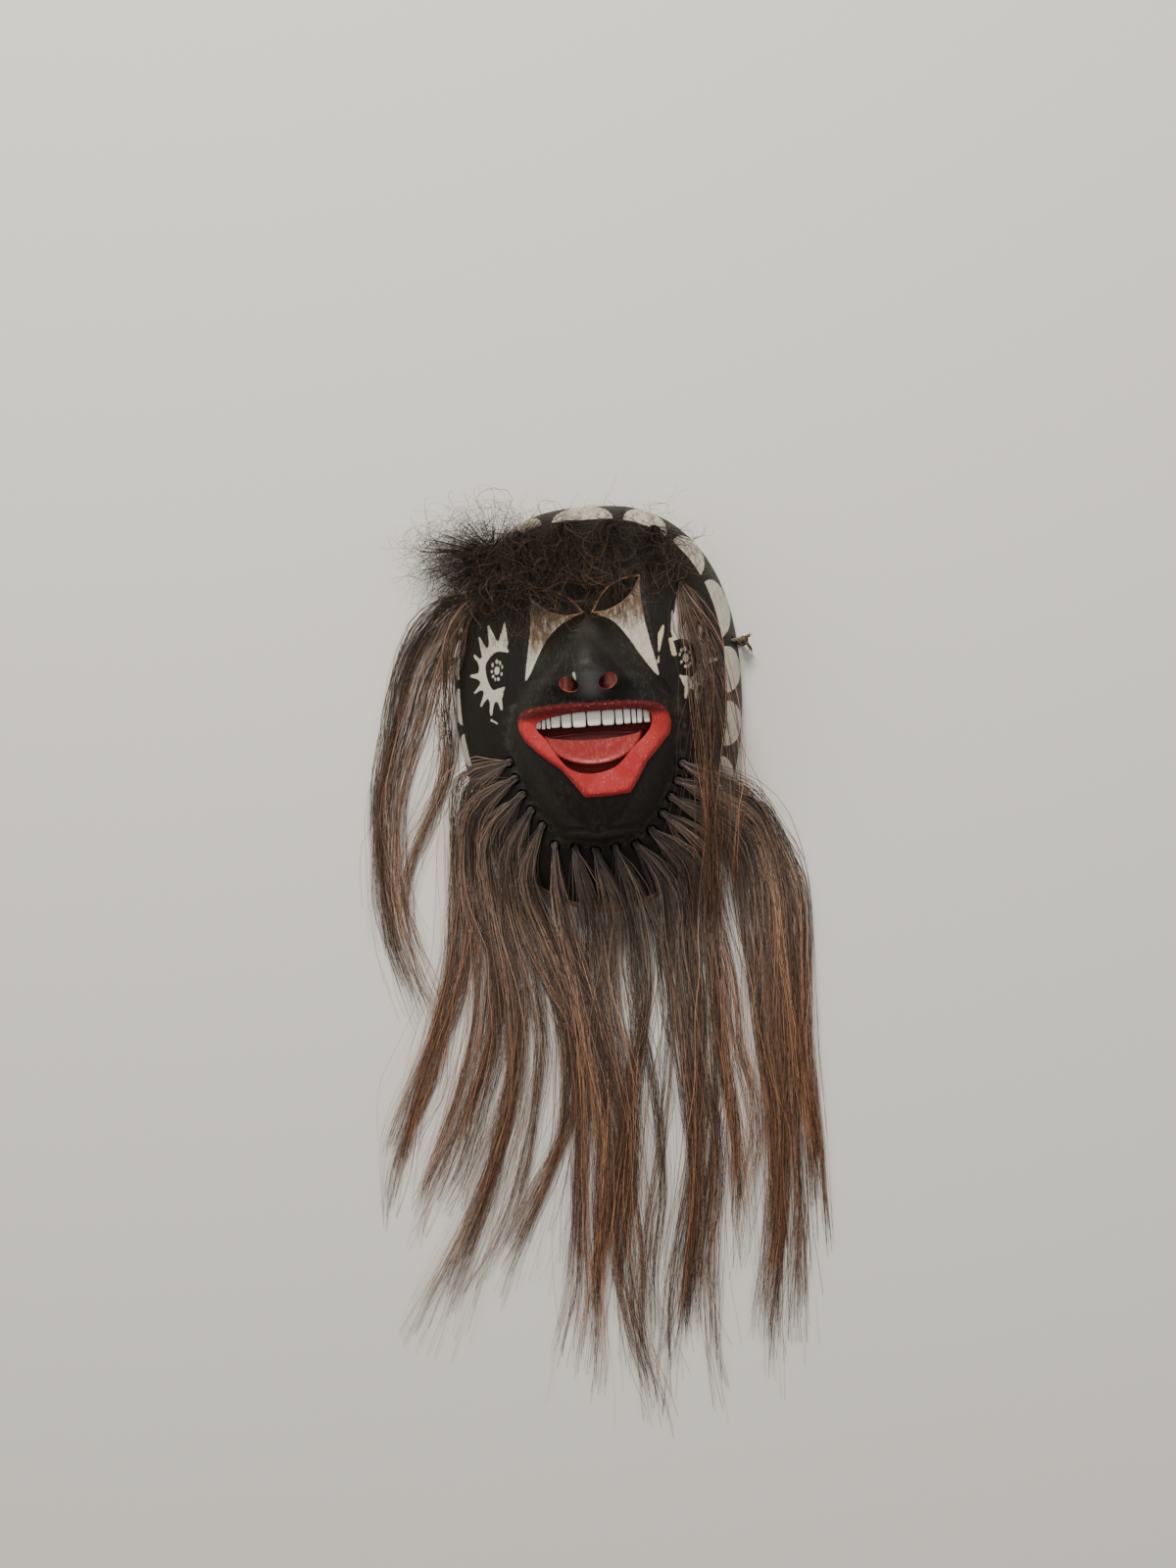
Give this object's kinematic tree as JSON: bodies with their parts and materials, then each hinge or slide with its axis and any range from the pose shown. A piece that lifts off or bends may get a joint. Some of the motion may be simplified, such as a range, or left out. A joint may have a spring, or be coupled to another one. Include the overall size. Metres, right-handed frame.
{
  "type": "decorative mask",
  "caption": "Carved and painted wooden festival mask, hollow behind, with pierced eyes, an open toothed mouth and a long horsehair beard, lying on its flat rim",
  "frame": {"origin": "on the surface that the mask lies on, under the middle of the box round the whole object with its hair", "axes": "+Y towards the top of the head, +Z out of the face and away from the surface, +X to the right as a viewer sees the face"},
  "size_m": [0.2104, 0.4614, 0.074],
  "materials": {
    "painted_wood": "satin",
    "horsehair": "satin",
    "frizzy_hair": "matte",
    "twine": "matte"
  },
  "bodies": {
    "root": {"mask": "painted_wood", "beard_tuft_01": "horsehair", "beard_tuft_02": "horsehair", "beard_tuft_03": "horsehair", "beard_tuft_04": "horsehair", "beard_tuft_05": "horsehair", "beard_tuft_06": "horsehair", "beard_tuft_07": "horsehair", "beard_tuft_08": "horsehair", "beard_tuft_09": "horsehair", "beard_tuft_10": "horsehair", "beard_tuft_11": "horsehair", "beard_tuft_12": "horsehair", "beard_tuft_13": "horsehair", "beard_tuft_14": "horsehair", "beard_tuft_15": "horsehair", "forelock_left": "horsehair", "forelock_right": "horsehair", "brow_tuft_1": "frizzy_hair", "brow_tuft_2": "frizzy_hair", "brow_tuft_3": "frizzy_hair", "brow_tuft_4": "frizzy_hair", "brow_tuft_5": "frizzy_hair", "tie_left": "twine", "tie_right": "twine"}
  },
  "joints": []
}
